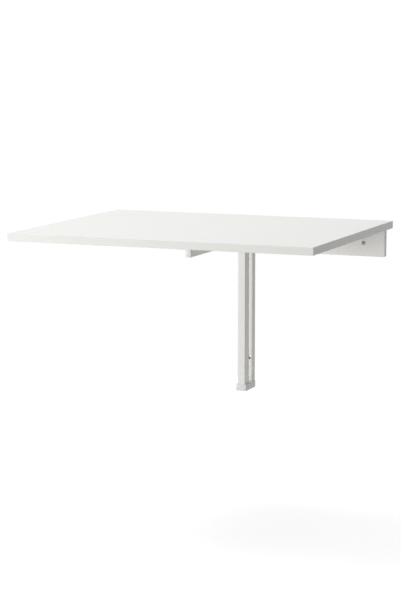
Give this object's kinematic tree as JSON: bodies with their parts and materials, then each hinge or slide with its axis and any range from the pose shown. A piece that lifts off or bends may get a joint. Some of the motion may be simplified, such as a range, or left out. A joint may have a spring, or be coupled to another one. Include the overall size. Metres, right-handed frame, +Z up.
{
  "type": "wall mounted drop leaf table",
  "caption": "White wall mounted table: a fixed shelf strip on a steel rail, a leaf hinged to it, and a slim arm on a wall frame that folds down with the leaf.",
  "frame": {"origin": "on the wall plane, midway between the two screw holes of the wall rail", "axes": "+X along the wall to the right as seen from the room, +Y into the wall, +Z up"},
  "size_m": [0.74, 0.6, 0.4373],
  "materials": {
    "board_foil": "satin white foil on chipboard",
    "edging": "satin white plastic edging",
    "powder_coat": "fine white powder coating on steel",
    "plastic": "moulded white polypropylene",
    "nylon": "natural nylon",
    "zinc": "bright zinc plating on steel"
  },
  "bodies": {
    "wall_frame": {"shelf_panel": "board_foil", "shelf_edging_front": "edging", "shelf_edging_left": "edging", "shelf_edging_right": "edging", "wall_rail": "powder_coat", "wall_post": "powder_coat", "upright": "powder_coat", "frame_spacer": "powder_coat", "frame_head": "powder_coat", "foot": "plastic", "pivot_bolt": "zinc", "pivot_nut": "zinc", "hinge_shelf_plate_left": "zinc", "hinge_shelf_plate_right": "zinc", "hinge_pin_left": "zinc", "hinge_pin_right": "zinc", "rail_screws": "zinc", "head_screws": "zinc", "hinge_shelf_screws": "zinc"},
    "leaf": {"leaf_panel": "board_foil", "leaf_edging_front": "edging", "leaf_edging_back": "edging", "leaf_edging_left": "edging", "leaf_edging_right": "edging", "hinge_leaf_plate_left": "zinc", "hinge_leaf_plate_right": "zinc", "hinge_leaf_screws": "zinc"},
    "arm": {"arm_tube": "powder_coat", "arm_end_cap": "plastic", "arm_glide": "plastic", "arm_bush_left": "nylon", "arm_bush_right": "nylon"}
  },
  "joints": [
    {"name": "leaf_fold", "type": "hinge", "parent": "wall_frame", "child": "leaf", "pos_m": [0, -0.1124, 0.0346], "axis": [1, 0, 0], "range_deg": [0, 90]},
    {"name": "arm_fold", "type": "hinge", "parent": "wall_frame", "child": "arm", "pos_m": [0, -0.0868, 0.0153], "axis": [1, 0, 0], "range_deg": [0, 90]}
  ],
  "couplings": [
    {"joint": "arm_fold", "follows": "leaf_fold", "ratio": 1}
  ]
}
